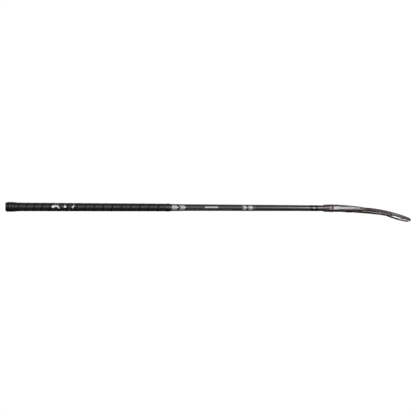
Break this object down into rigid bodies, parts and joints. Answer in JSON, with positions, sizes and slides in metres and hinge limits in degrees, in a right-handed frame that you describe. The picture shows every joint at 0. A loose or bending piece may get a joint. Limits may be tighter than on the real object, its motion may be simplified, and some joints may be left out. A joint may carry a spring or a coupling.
{
  "type": "floorball stick",
  "caption": "Floorball stick with a tapered round shaft, a wound grip with a knob at the butt, and a hooked openwork blade held by a screw.",
  "frame": {"origin": "centre of the flat butt face at the grip end of the shaft", "axes": "+X runs down the shaft towards the blade, +Y is the way the blade reaches out from the shaft, and the blade's hollow forehand face looks to -Z"},
  "size_m": [1.1525, 0.2387, 0.053],
  "materials": {
    "shaft_lacquer": "lacquered composite, matt grey at the grip turning glossy black towards the blade",
    "plug_plastic": "moulded black",
    "collar_rubber": "soft black foam rubber",
    "grip_strip": "black synthetic grip strip, wound in overlapping turns",
    "tape_black": "black adhesive tape",
    "print_silver": "silver-white print",
    "print_grey": "light grey print",
    "print_black": "black print",
    "blade_plastic": "moulded warm black",
    "screw_steel": "plated steel"
  },
  "bodies": {
    "root": {"shaft_tube": "shaft_lacquer", "end_plug": "plug_plastic", "knob_collar": "collar_rubber", "grip_wrap": "grip_strip", "finishing_tape": "tape_black", "upper_chevrons": "print_silver", "name_bar": "print_grey", "mid_arrows": "print_silver", "arrow_band": "print_black", "band_arrow": "print_silver", "blade": "blade_plastic", "blade_screw": "screw_steel"}
  },
  "joints": []
}
